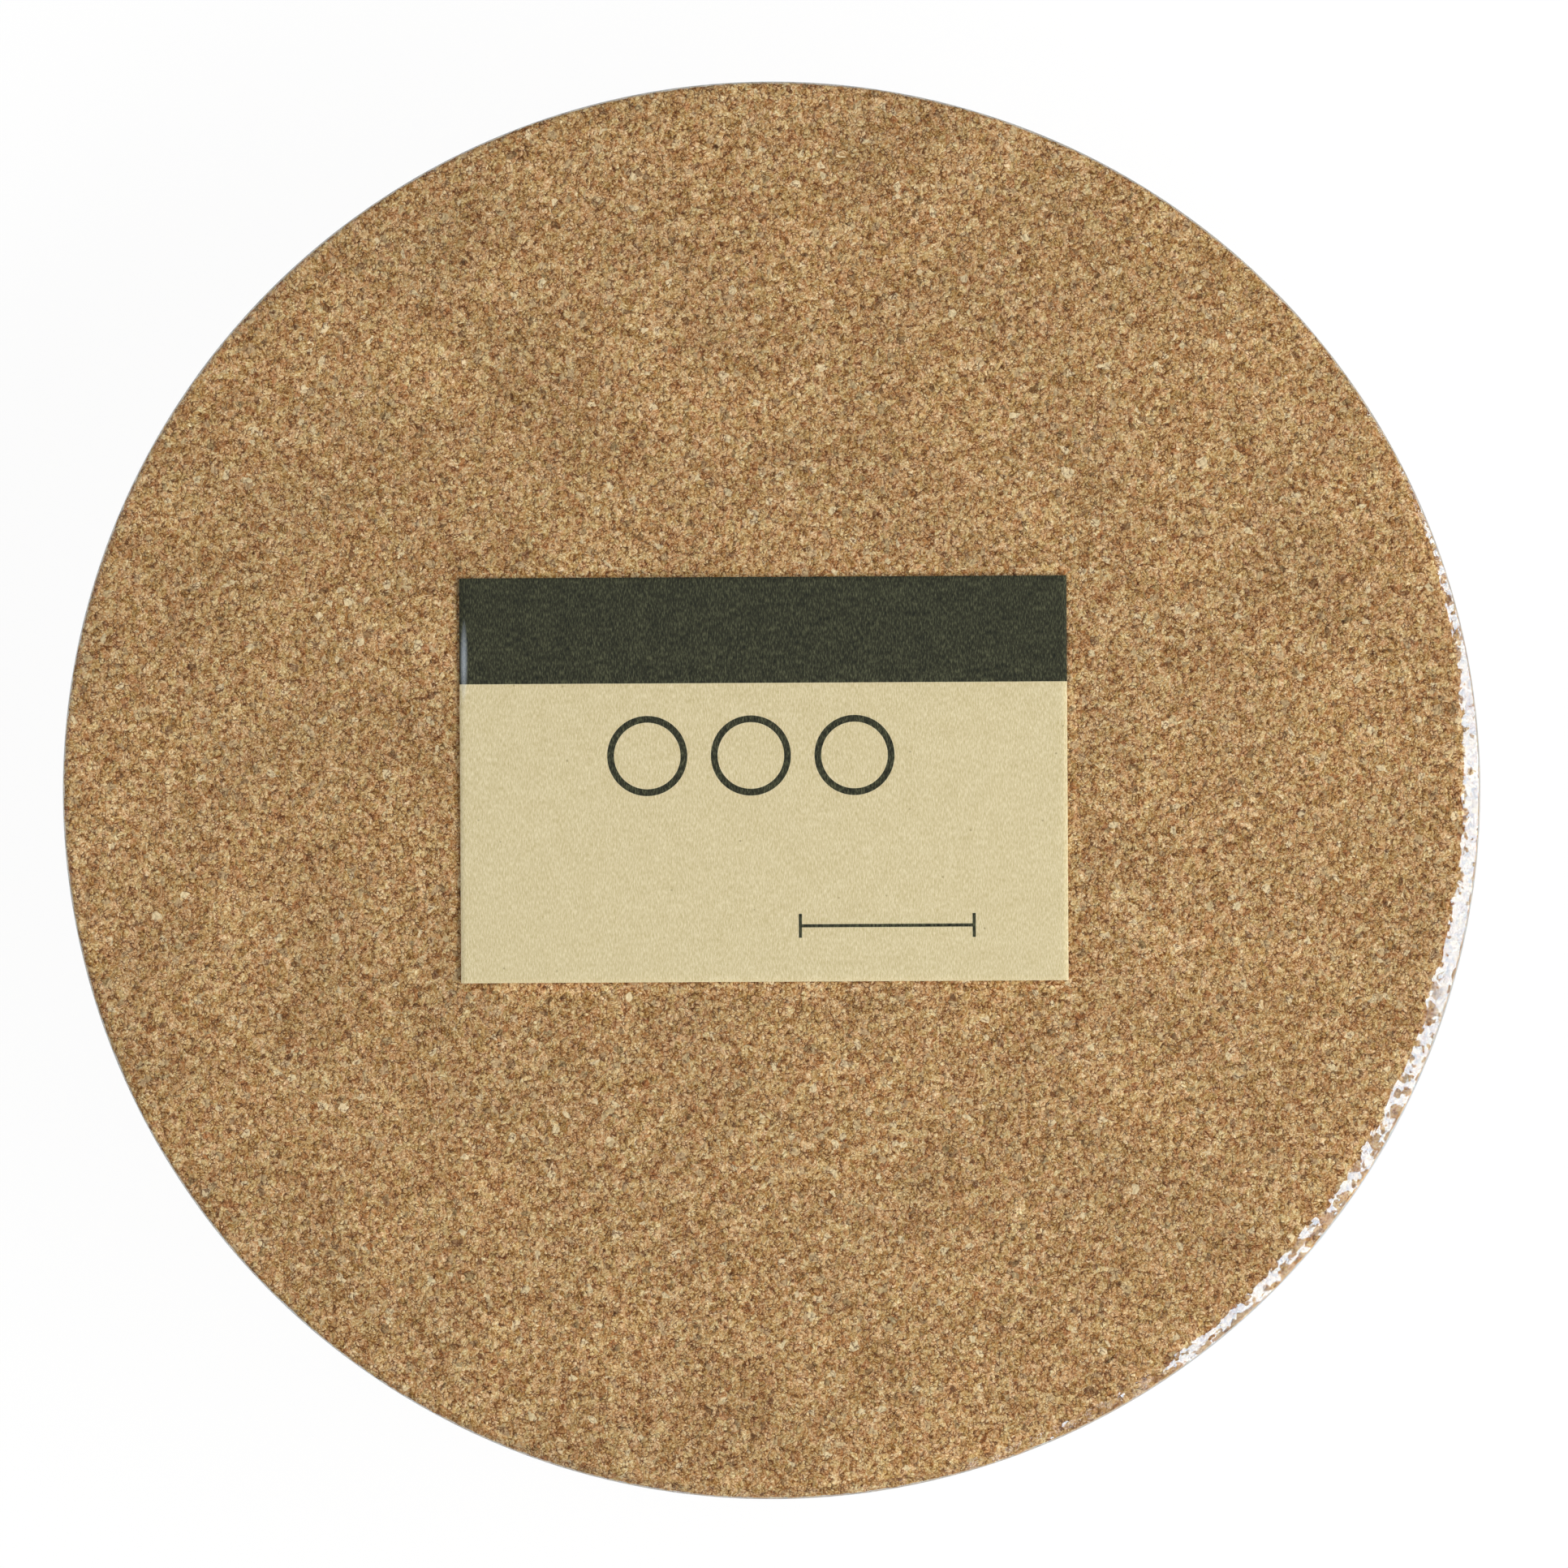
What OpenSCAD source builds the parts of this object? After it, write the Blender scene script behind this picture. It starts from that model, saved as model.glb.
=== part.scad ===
// A set of three round cork trivets, stacked, with a card on top, in clear shrink film.
// Millimetres, +Z up. The origin is the middle of the face that the set rests on.

/* [Cork discs] */
// Diameter of each disc
disc_d = 177.8; // [120:0.1:260]
// Thickness of each disc
disc_t = 9.5; // [5:0.1:20]
// Radius of the rim edges, rounded where the disc is die-cut and handled
rim_r = 1.6; // [0.4:0.1:2.4]

/* [Stack] */
// How far the upper disc lies off the middle, towards +X
top_shift_x = 0; // [-3:0.1:3]
// How far the upper disc lies off the middle, towards +Y
top_shift_y = 0; // [-3:0.1:3]
// How far the middle disc lies off the middle, towards +X
middle_shift_x = 0.5; // [-3:0.1:3]
// How far the middle disc lies off the middle, towards +Y
middle_shift_y = -0.4; // [-3:0.1:3]
// How far the lower disc lies off the middle, towards +X
bottom_shift_x = -0.3; // [-3:0.1:3]
// How far the lower disc lies off the middle, towards +Y
bottom_shift_y = 0.5; // [-3:0.1:3]

/* [Card] */
// Width of the card
card_w = 76.2; // [40:0.1:84]
// Height of the card, from its lower to its upper edge
card_h = 50.8; // [25:0.1:70]
// Thickness of the card
card_t = 0.35; // [0.2:0.05:1]
// Radius of the card's corners
card_corner_r = 0.5; // [0.2:0.1:3]
// Middle of the card, towards +X from the upper disc's middle
card_x = -1; // [-5:0.1:5]
// Middle of the card, towards +Y from the upper disc's middle
card_y = 1.4; // [-5:0.1:5]
// How far the card is turned, in degrees
card_turn = 0.3; // [-10:0.1:10]

/* [Film] */
// Thickness of the film, thicker than a real one so that it is a solid sheet
film_t = 0.2; // [0.15:0.05:0.5]
// Room between the film's skirt and the disc edge that stands out furthest
film_gap = 0.3; // [0.2:0.05:1]
// How far the welded seam stands out from the skirt
seam_w = 0.5; // [0.3:0.1:2]
// Height of the seam's upper half, above the lower sheet
seam_h = 0.4; // [0.2:0.1:2]

/* [Hidden] */
$fn = 96;

// Every cut runs this far past the face that it opens
overrun = 1;

disc_r = disc_d / 2;
bottom_z = film_t;
middle_z = bottom_z + disc_t;
top_z = middle_z + disc_t;
card_z = top_z + disc_t;
sheet_z = card_z + card_t;

top_off = norm([top_shift_x, top_shift_y]);
middle_off = norm([middle_shift_x, middle_shift_y]);
bottom_off = norm([bottom_shift_x, bottom_shift_y]);
wrap_r = disc_r + max(top_off, middle_off, bottom_off) + film_gap;
seam_r = wrap_r + film_t + seam_w;

// Half of a round slab's section, from the axis out to r, with its edges rounded where asked
module half_section(r, h, edge_r, round_below) {
    low = round_below ? edge_r : 0;
    square([r - edge_r, h]);
    translate([0, low])
        square([r, h - edge_r - low]);
    translate([r - edge_r, h - edge_r])
        circle(edge_r);
    if (round_below)
        translate([r - edge_r, edge_r])
            circle(edge_r);
}

module cork_disc() {
    rotate_extrude()
        half_section(disc_r, disc_t, rim_r, true);
}

module trivet_top() {
    color("#bd9564")
        translate([top_shift_x, top_shift_y, top_z])
            cork_disc();
}

module trivet_middle() {
    color("#b48b5b")
        translate([middle_shift_x, middle_shift_y, middle_z])
            cork_disc();
}

module trivet_bottom() {
    color("#ac8455")
        translate([bottom_shift_x, bottom_shift_y, bottom_z])
            cork_disc();
}

// The card is two crossed rectangles and four corner rounds
module card_outline() {
    square([card_w - 2 * card_corner_r, card_h], center = true);
    square([card_w, card_h - 2 * card_corner_r], center = true);
    for (side = [-1, 1], end = [-1, 1])
        translate([side * (card_w / 2 - card_corner_r), end * (card_h / 2 - card_corner_r)])
            circle(card_corner_r);
}

module label_card() {
    color("#d9cb9e")
        translate([top_shift_x + card_x, top_shift_y + card_y, card_z])
            rotate([0, 0, card_turn])
                linear_extrude(card_t)
                    card_outline();
}

// The upper sheet lies on the card, turns down round the rim and ends at the seam
module film_upper() {
    color("#e6edf0", 0.2)
        translate([0, 0, film_t]) {
            rotate_extrude()
                difference() {
                    half_section(wrap_r + film_t, sheet_z, rim_r + film_t, false);
                    translate([0, -overrun])
                        half_section(wrap_r, sheet_z - film_t + overrun, rim_r, false);
                }
            difference() {
                cylinder(r = seam_r, h = seam_h);
                translate([0, 0, -overrun])
                    cylinder(r = wrap_r, h = seam_h + 2 * overrun);
            }
        }
}

// The lower sheet is flat, welded to the upper one along its rim
module film_lower() {
    color("#dfe7ea", 0.3)
        cylinder(r = seam_r, h = film_t);
}

trivet_top();
trivet_middle();
trivet_bottom();
label_card();
film_upper();
film_lower();
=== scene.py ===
"""A stack of three round cork trivets with a printed kraft card, in clear shrink film, on a white table.

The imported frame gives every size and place. The new pieces are dense surfaces worked out with numpy, and
each finish is a node material in real millimetres.
"""
import logging
import math
from dataclasses import dataclass, field
from enum import Enum

import bpy
import numpy as np
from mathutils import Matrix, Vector


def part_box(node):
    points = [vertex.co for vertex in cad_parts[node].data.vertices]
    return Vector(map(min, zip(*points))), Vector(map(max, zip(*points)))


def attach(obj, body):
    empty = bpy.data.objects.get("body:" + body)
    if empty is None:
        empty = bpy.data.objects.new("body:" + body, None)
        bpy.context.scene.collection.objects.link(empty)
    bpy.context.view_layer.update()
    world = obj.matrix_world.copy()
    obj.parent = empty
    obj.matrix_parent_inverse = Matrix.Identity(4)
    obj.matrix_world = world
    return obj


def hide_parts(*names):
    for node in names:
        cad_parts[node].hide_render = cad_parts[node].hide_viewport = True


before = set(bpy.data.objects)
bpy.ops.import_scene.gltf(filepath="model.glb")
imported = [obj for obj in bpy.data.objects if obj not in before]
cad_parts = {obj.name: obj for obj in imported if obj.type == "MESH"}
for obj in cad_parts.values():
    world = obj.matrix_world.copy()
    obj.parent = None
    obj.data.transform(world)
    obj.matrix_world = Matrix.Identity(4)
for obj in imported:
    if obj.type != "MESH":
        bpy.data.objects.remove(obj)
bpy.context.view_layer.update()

log = logging.getLogger("trivets")

# An input or output of a node
Socket = bpy.types.NodeSocket

MM = 0.001

# The photograph's frame: its side, and the upper disc's span and middle in it
PHOTO_SIDE_PX = 1932
PHOTO_DISC_SPAN_PX = 1746
PHOTO_DISC_MIDDLE_PX = (951, 974)

# Large odd numbers that turn a cell's place and a seed into a random number
CELL_FACTORS = (0x8DA6B343, 0xD8163841, 0xCB1AB31F)
SEED_FACTOR = 0x9E3779B1
MIX_FACTORS = (0x7FEB352D, 0x846CA68B)

# A granule's side rises over this share of a cell, and the lowest granules are this high beside the highest
GRANULE_EDGE_SHARE = 0.35
LOWEST_GRANULE_SHARE = 0.45

# What is added to a disc's seed for its waves, as its granules use the seed and the three after it
WAVE_SEED_STEP = 9

# Nearly all of a noise texture lies between these values, and its colour's middle is grey
NOISE_SPREAD = (0.3, 0.7)
MID_NOISE = (0.5, 0.5, 0.5)

WHITE = "#ffffff"


class Slot(Enum):
    """The record's material slots."""

    CORK = "cork"
    CARD = "kraft_card"
    FILM = "clear_film"


@dataclass(frozen=True)
class Box:
    """A CAD node's box at rest, in metres."""

    low: np.ndarray
    high: np.ndarray

    @classmethod
    def of(cls, node: str) -> "Box":
        """The box of a CAD node.

        Args:
            node: The node's name.

        Returns:
            Its box.
        """
        low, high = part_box(node)
        return cls(np.array(low), np.array(high))

    @property
    def middle(self) -> np.ndarray:
        """The middle of the box."""
        return (self.low + self.high) / 2

    @property
    def size(self) -> np.ndarray:
        """The sides of the box."""
        return self.high - self.low


def linear(code: str) -> tuple[float, float, float, float]:
    """Turns an sRGB hex colour into linear light.

    Args:
        code: Such as "#bd9564".

    Returns:
        Red, green, blue and an alpha of 1.
    """
    parts = [int(code[i : i + 2], 16) / 255 for i in (1, 3, 5)]
    light = [p / 12.92 if p <= 0.04045 else ((p + 0.055) / 1.055) ** 2.4 for p in parts]
    return (*light, 1.0)


def per_metre(size_mm: float) -> float:
    """The texture scale at which one cell or wave is size_mm across."""
    return 1 / (size_mm * MM)


def smooth(low: float, high: float, value: np.ndarray) -> np.ndarray:
    """A smooth step from 0 at low to 1 at high.

    It is three times the square, less twice the cube, of the clamped share of the way.

    Args:
        low: Where it leaves 0.
        high: Where it reaches 1.
        value: The values that are stepped.

    Returns:
        One number from 0 to 1 for each value.
    """
    share = np.clip((value - low) / (high - low), 0, 1)
    return share * share * (3 - 2 * share)


def cell_random(cells: np.ndarray, seed: int) -> np.ndarray:
    """Gives each whole-numbered cell a fixed random number.

    The three numbers are multiplied by large odd factors, mixed by shifts and exclusive-or, and scaled.

    Args:
        cells: Integers, with x, y, z last.
        seed: Picks another set of numbers.

    Returns:
        One number from 0 to 1 for each cell.
    """
    scattered = cells.astype(np.int64).astype(np.uint32) * np.array(CELL_FACTORS, dtype=np.uint32)
    x, y, z = np.moveaxis(scattered, -1, 0)
    mixed = x ^ y ^ z ^ np.uint32((seed * SEED_FACTOR) & 0xFFFFFFFF)
    for factor in MIX_FACTORS:
        mixed = (mixed ^ (mixed >> np.uint32(16))) * np.uint32(factor)
    return (mixed ^ (mixed >> np.uint32(15))).astype(np.float64) / 2**32


def value_noise(points: np.ndarray, size: float, seed: int) -> np.ndarray:
    """Smooth noise from 0 to 1: random numbers at a grid's corners, blended between them by smooth steps.

    Args:
        points: Places in metres, with x, y, z last.
        size: The grid's spacing in metres.
        seed: Picks another set of numbers.

    Returns:
        One number for each place.
    """
    scaled = points / size
    base = np.floor(scaled)
    share = smooth(0, 1, scaled - base)
    total = np.zeros(points.shape[:-1])
    for corner in np.ndindex(2, 2, 2):
        weight = np.prod(np.where(corner, share, 1 - share), axis=-1)
        total += weight * cell_random(base + corner, seed)
    return total


def granule_relief(points: np.ndarray, size: float, seed: int) -> np.ndarray:
    """The height of a packed-granule surface, from 0 in the gaps to about 1 on a granule.

    Each grid cell holds one granule at a random place. A place's height is how much nearer it lies to its
    own granule than to the next one, eased by a smooth step, times a random height for that granule.

    Args:
        points: Places in metres, with x, y, z last.
        size: The grid's spacing in metres.
        seed: Picks another set of granules.

    Returns:
        One height for each place.
    """
    scaled = points / size
    base = np.floor(scaled)
    first = np.full(points.shape[:-1], np.inf)
    second = first.copy()
    height = np.zeros_like(first)
    for step in np.ndindex(3, 3, 3):
        cell = base + (np.array(step) - 1)
        jitter = np.stack([cell_random(cell, seed + k) for k in range(3)], axis=-1)
        distance = np.linalg.norm(cell + jitter - scaled, axis=-1)
        nearer = distance < first
        second = np.where(nearer, first, np.minimum(second, distance))
        height = np.where(nearer, cell_random(cell, seed + 3), height)
        first = np.where(nearer, distance, first)
    rise = smooth(0, GRANULE_EDGE_SHARE, second - first)
    return rise * (LOWEST_GRANULE_SHARE + (1 - LOWEST_GRANULE_SHARE) * height)


def disc_grid(count: int) -> np.ndarray:
    """A square grid bent into the unit disc, with even cells.

    A point's radius is the larger of its two coordinates, and its angle grows evenly along its side of the
    square.

    Args:
        count: Points along a side of the square.

    Returns:
        An array of count by count points of x, y.
    """
    line = np.linspace(-1, 1, count)
    u, v = np.meshgrid(line, line, indexing="ij")
    across = np.abs(u) >= np.abs(v)
    radius = np.where(across, u, v)
    safe = np.where(radius == 0, 1, radius)
    angle = np.where(across, v / safe * math.pi / 4, math.pi / 2 - u / safe * math.pi / 4)
    return np.stack([radius * np.cos(angle), radius * np.sin(angle)], axis=-1)


def grid_rim(rows: int, columns: int) -> np.ndarray:
    """The numbers of a grid's outer points, where its points are numbered row by row.

    Args:
        rows: How many rows of points there are, one after the other along +X.
        columns: How many points a row has, along +Y.

    Returns:
        The numbers, anticlockwise from above.
    """
    low = np.arange(rows - 1) * columns
    right = (rows - 1) * columns + np.arange(columns - 1)
    high = np.arange(rows - 1, 0, -1) * columns + columns - 1
    left = np.arange(columns - 1, 0, -1)
    return np.concatenate([low, right, high, left])


def grid_angles(grid: np.ndarray) -> tuple[np.ndarray, np.ndarray]:
    """The angles of a grid's points about the Z axis.

    Args:
        grid: Rows and columns of points, with x, y last.

    Returns:
        One angle for each point, and the angles of its outer points, anticlockwise from above.
    """
    angle = np.arctan2(grid[..., 1], grid[..., 0])
    return angle, angle.ravel()[grid_rim(*angle.shape)]


def round_points(radius: float | np.ndarray, angle: np.ndarray, height: float | np.ndarray) -> np.ndarray:
    """Points about the Z axis: a radius times its angle's cosine and sine, and a height.

    A single number, a row or a column of one is spread over the others' rows and columns.

    Args:
        radius: How far out they lie.
        angle: Their angles, anticlockwise from +X.
        height: Their heights.

    Returns:
        The points, with x, y, z last.
    """
    places = np.broadcast_arrays(radius * np.cos(angle), radius * np.sin(angle), height)
    return np.stack(places, axis=-1)


def grid_faces(rows: int, columns: int) -> np.ndarray:
    """The quads of a grid whose points are numbered row by row.

    Args:
        rows: How many rows of points there are, one after the other along +X.
        columns: How many points a row has, along +Y.

    Returns:
        Rows of four point numbers. The quads face up.
    """
    i, j = np.meshgrid(np.arange(rows - 1), np.arange(columns - 1), indexing="ij")
    a = (i * columns + j).ravel()
    return np.stack([a, a + columns, a + columns + 1, a + 1], axis=-1)


def belt_faces(loops: np.ndarray) -> np.ndarray:
    """The quads between closed loops of points that lie one below the other.

    Args:
        loops: Rows of point numbers, from the uppermost loop down, each anticlockwise from above.

    Returns:
        Rows of four point numbers. The quads face outwards.
    """
    after = np.roll(loops, -1, axis=1)
    return np.stack([loops[:-1], loops[1:], after[1:], after[:-1]], axis=-1).reshape(-1, 4)


def make_piece(
    name: str, points: np.ndarray, quads: np.ndarray, triangles: np.ndarray | None = None
) -> bpy.types.Object:
    """Puts worked-out points and faces into a new smooth-shaded mesh object at the origin.

    Args:
        name: The piece's name.
        points: An array of x, y, z in metres.
        quads: Rows of four point numbers.
        triangles: Rows of three point numbers, or None.

    Returns:
        The object, linked to the scene.
    """
    corners = [quads.ravel()]
    totals = [np.full(len(quads), 4)]
    if triangles is not None:
        corners.append(triangles.ravel())
        totals.append(np.full(len(triangles), 3))
    loops, counts = np.concatenate(corners), np.concatenate(totals)
    mesh = bpy.data.meshes.new(name)
    mesh.vertices.add(len(points))
    mesh.vertices.foreach_set("co", points.astype(np.float32).ravel())
    mesh.loops.add(len(loops))
    mesh.loops.foreach_set("vertex_index", loops.astype(np.int32))
    mesh.polygons.add(len(counts))
    mesh.polygons.foreach_set("loop_start", np.concatenate([[0], np.cumsum(counts)[:-1]]).astype(np.int32))
    mesh.polygons.foreach_set("use_smooth", np.ones(len(counts), dtype=bool))
    mesh.update(calc_edges=True)
    mesh.validate()
    piece = bpy.data.objects.new(name, mesh)
    bpy.context.scene.collection.objects.link(piece)
    return piece


def face_and_rows(
    name: str, face: np.ndarray, rows: np.ndarray, pole: np.ndarray | None
) -> bpy.types.Object:
    """Joins a disc-shaped grid to the rows of points that run down from its rim, and closes them at a pole.

    Args:
        name: The piece's name.
        face: The grid, count by count by 3.
        rows: The rows below the grid's rim, each as long as the rim, rows by rim by 3.
        pole: The last point, or None to leave the last row open.

    Returns:
        The piece.
    """
    count = face.shape[0]
    below = count * count + np.arange(rows[..., 0].size).reshape(rows.shape[:2])
    loops = np.concatenate([grid_rim(count, count)[None, :], below])
    points = [face.reshape(-1, 3), rows.reshape(-1, 3)]
    fan = None
    if pole is not None:
        tip = np.full_like(loops[-1], below[-1, -1] + 1)
        fan = np.stack([loops[-1], tip, np.roll(loops[-1], -1)], axis=-1)
        points.append(pole[None, :])
    quads = np.concatenate([grid_faces(count, count), belt_faces(loops)])
    return make_piece(name, np.concatenate(points), quads, fan)


def put_in_frame(piece: bpy.types.Object, body: str, node: str) -> None:
    """Puts a finished piece in the frame.

    Args:
        piece: The piece.
        body: The body that it rides on.
        node: The CAD node that it replaces.
    """
    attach(piece, body)
    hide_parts(node)


@dataclass(frozen=True)
class Rim:
    """How a disc's face turns down into its wall: an easing curve, a pressed bevel and a rolled edge.

    The rim is pressed down most at one heading, where the wrap is drawn tightest over the upper disc, and
    hardly at all on the far side. Clockwise of the heading it is pressed rounder.

    Attributes:
        ease_r: The easing curve's radius, on the far side and at the heading.
        ease_more: How much larger that radius is where the rim is pressed rounder.
        roll_r: The rolled edge's radius, on the far side and at the heading.
        tilt: The bevel's slope.
        tilt_more: How much steeper it is where the rim is pressed rounder.
        widest: The bevel's width at the heading.
        narrow: Its width on the far side.
        heading: Where the rim is pressed most, anticlockwise from +X.
        spread: How far round the pressing reaches, clockwise and anticlockwise of the heading.
        soft_from: Where the rounder stretch begins and is full, clockwise of the heading.
        soft_to: Where it begins to end and has ended.
        soft_narrower: The share of the bevel's width that is lost there.
        uneven_least: The bevel's smallest share of its even width.
        uneven: The share and the size of each noise that makes it wider, on a ring with a radius of 1.
        seed: Picks the noise.
        steps: Points along each of the three stretches.
    """

    ease_r: tuple[float, float] = (1.2 * MM, 2.6 * MM)
    ease_more: float = 2.2 * MM
    roll_r: tuple[float, float] = (0.3 * MM, 0.45 * MM)
    tilt: float = math.radians(27)
    tilt_more: float = math.radians(8)
    widest: float = 2.0 * MM
    narrow: float = 0.15 * MM
    heading: float = math.radians(-19)
    spread: tuple[float, float] = (math.radians(42), math.radians(34))
    soft_from: tuple[float, float] = (0.0, math.radians(29))
    soft_to: tuple[float, float] = (math.radians(75), math.radians(126))
    soft_narrower: float = 0.5
    uneven_least: float = 0.35
    uneven: tuple[tuple[float, float], ...] = ((0.5, 0.12), (0.4, 0.035), (0.4, 0.018))
    seed: int = 5
    steps: int = 5

    def bevel(self, angle: np.ndarray) -> np.ndarray:
        """The bevel's width: widest where the rim is pressed, narrower where it is rounder, uneven by noise.

        Args:
            angle: Angles round the disc.

        Returns:
            One width for each angle.
        """
        ring = round_points(1, angle, 0)
        uneven = np.full(angle.shape, self.uneven_least)
        for share, size in self.uneven:
            uneven += share * value_noise(ring, size, self.seed)
        more = (self.widest - self.narrow) * uneven * self.pressed(angle)
        return self.narrow + more * (1 - self.soft_narrower * self.soft(angle))

    def pressed(self, angle: np.ndarray) -> np.ndarray:
        """How far the rim is pressed down: a bell curve about the heading, with a spread for each side."""
        off = self.off(angle)
        return np.exp(-((off / np.where(off < 0, *self.spread)) ** 2))

    def soft(self, angle: np.ndarray) -> np.ndarray:
        """Where the rim is pressed rounder: 1 over the rounder stretch, and 0 away from it."""
        back = -self.off(angle)
        return smooth(*self.soft_from, back) * (1 - smooth(*self.soft_to, back))

    def off(self, angle: np.ndarray) -> np.ndarray:
        """Each angle's distance from the heading, from minus pi to pi."""
        return (angle - self.heading + math.pi) % (2 * math.pi) - math.pi

    def profile(self, angle: np.ndarray, out: float = 0.0) -> tuple[np.ndarray, np.ndarray]:
        """The turn's profile at each angle, from the face's edge to the wall.

        The profile's slope grows evenly along the easing curve, stays at the tilt along the bevel, and
        grows evenly to upright along the rolled edge. Both radii grow with how far the rim is pressed. Where
        it is pressed rounder, the easing curve is longer and the bevel is narrower and steeper. A parallel
        profile has both radii larger by the offset.

        Args:
            angle: Angles round the disc.
            out: How far outside the disc the profile runs.

        Returns:
            The distance in from the wall and the depth below the face, each steps by angles.
        """
        soft, pressed = self.soft(angle)[None, :], self.pressed(angle)[None, :]
        ease = self.ease_r[0] + (self.ease_r[1] - self.ease_r[0]) * pressed + self.ease_more * soft + out
        roll = self.roll_r[0] + (self.roll_r[1] - self.roll_r[0]) * pressed + out
        share = np.linspace(0, 1, self.steps)[:, None]
        tilt = self.tilt + self.tilt_more * soft
        early = tilt * share
        late = tilt + (math.pi / 2 - tilt) * share
        width = self.bevel(angle)[None, :]
        run = [ease * np.sin(early)]
        drop = [ease * (1 - np.cos(early))]
        run.append(run[0][-1] + width * np.cos(tilt) * share[1:])
        drop.append(drop[0][-1] + width * np.sin(tilt) * share[1:])
        run.append(run[1][-1] + roll * (np.sin(late) - np.sin(tilt))[1:])
        drop.append(drop[1][-1] + roll * (np.cos(tilt) - np.cos(late))[1:])
        run, drop = np.concatenate(run), np.concatenate(drop)
        return run[-1] - run, drop


@dataclass
class Shader:
    """A node material under construction."""

    name: str
    material: bpy.types.Material = field(init=False)

    def __post_init__(self) -> None:
        """Makes the material with an empty node tree."""
        self.material = bpy.data.materials.new(self.name)
        self.material.use_nodes = True
        self.material.node_tree.nodes.clear()

    def add(self, kind: str, settings: dict | None = None, links: dict | None = None) -> bpy.types.Node:
        """Adds a node with its settings and links.

        Args:
            kind: The node's type, without "ShaderNode".
            settings: Values by the name of a property or input, or by an input's number. "stops" fills a
                colour ramp.
            links: Output sockets by the name or number of the input that they feed.

        Returns:
            The node.
        """
        return add_node(self.material.node_tree, kind, settings, links)

    def out(self, kind: str, settings: dict | None = None, links: dict | None = None) -> Socket:
        """Adds a node as add does, and returns its first output."""
        return self.add(kind, settings, links).outputs[0]

    def finish(self, surface: Socket) -> bpy.types.Material:
        """Links the surface to the material's output and returns the material."""
        self.add("OutputMaterial", links={"Surface": surface})
        return self.material


def add_node(
    tree: bpy.types.NodeTree, kind: str, settings: dict | None = None, links: dict | None = None
) -> bpy.types.Node:
    """Adds a node with its settings and links to a tree.

    Args:
        tree: The node tree.
        kind: The node's type, without "ShaderNode".
        settings: Values by the name of a property or input, or by an input's number. "stops" fills a
            colour ramp.
        links: Output sockets by the name or number of the input that they feed.

    Returns:
        The node.
    """
    node = tree.nodes.new("ShaderNode" + kind)
    for key, value in (settings or {}).items():
        if key == "stops":
            ramp = node.color_ramp.elements
            while len(ramp) < len(value):
                ramp.new(1.0)
            for stop, (place, colour) in zip(ramp, value):
                stop.position, stop.color = place, linear(colour)
        elif isinstance(key, int) or key in node.inputs:
            node.inputs[key].default_value = value
        else:
            setattr(node, key, value)
    for key, socket in (links or {}).items():
        tree.links.new(socket, node.inputs[key])
    return node


def facet_normal(s: Shader, cell: Socket, lean: float | Socket, normal: Socket) -> Socket:
    """Leans a normal a different way in each cell, so that every cell is a small facet.

    Args:
        s: The material.
        cell: A random colour for each cell, which says which way it leans.
        lean: How far it leans, as a share of the normal's length.
        normal: The normal before.

    Returns:
        The new normal.
    """
    way = s.out("VectorMath", {"operation": "SUBTRACT", 1: MID_NOISE}, {0: cell})
    if isinstance(lean, float):
        scaled = s.out("VectorMath", {"operation": "SCALE", "Scale": lean}, {0: way})
    else:
        scaled = s.out("VectorMath", {"operation": "SCALE"}, {0: way, "Scale": lean})
    leant = s.out("VectorMath", {"operation": "ADD"}, {0: scaled, 1: normal})
    return s.out("VectorMath", {"operation": "NORMALIZE"}, {0: leant})


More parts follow.
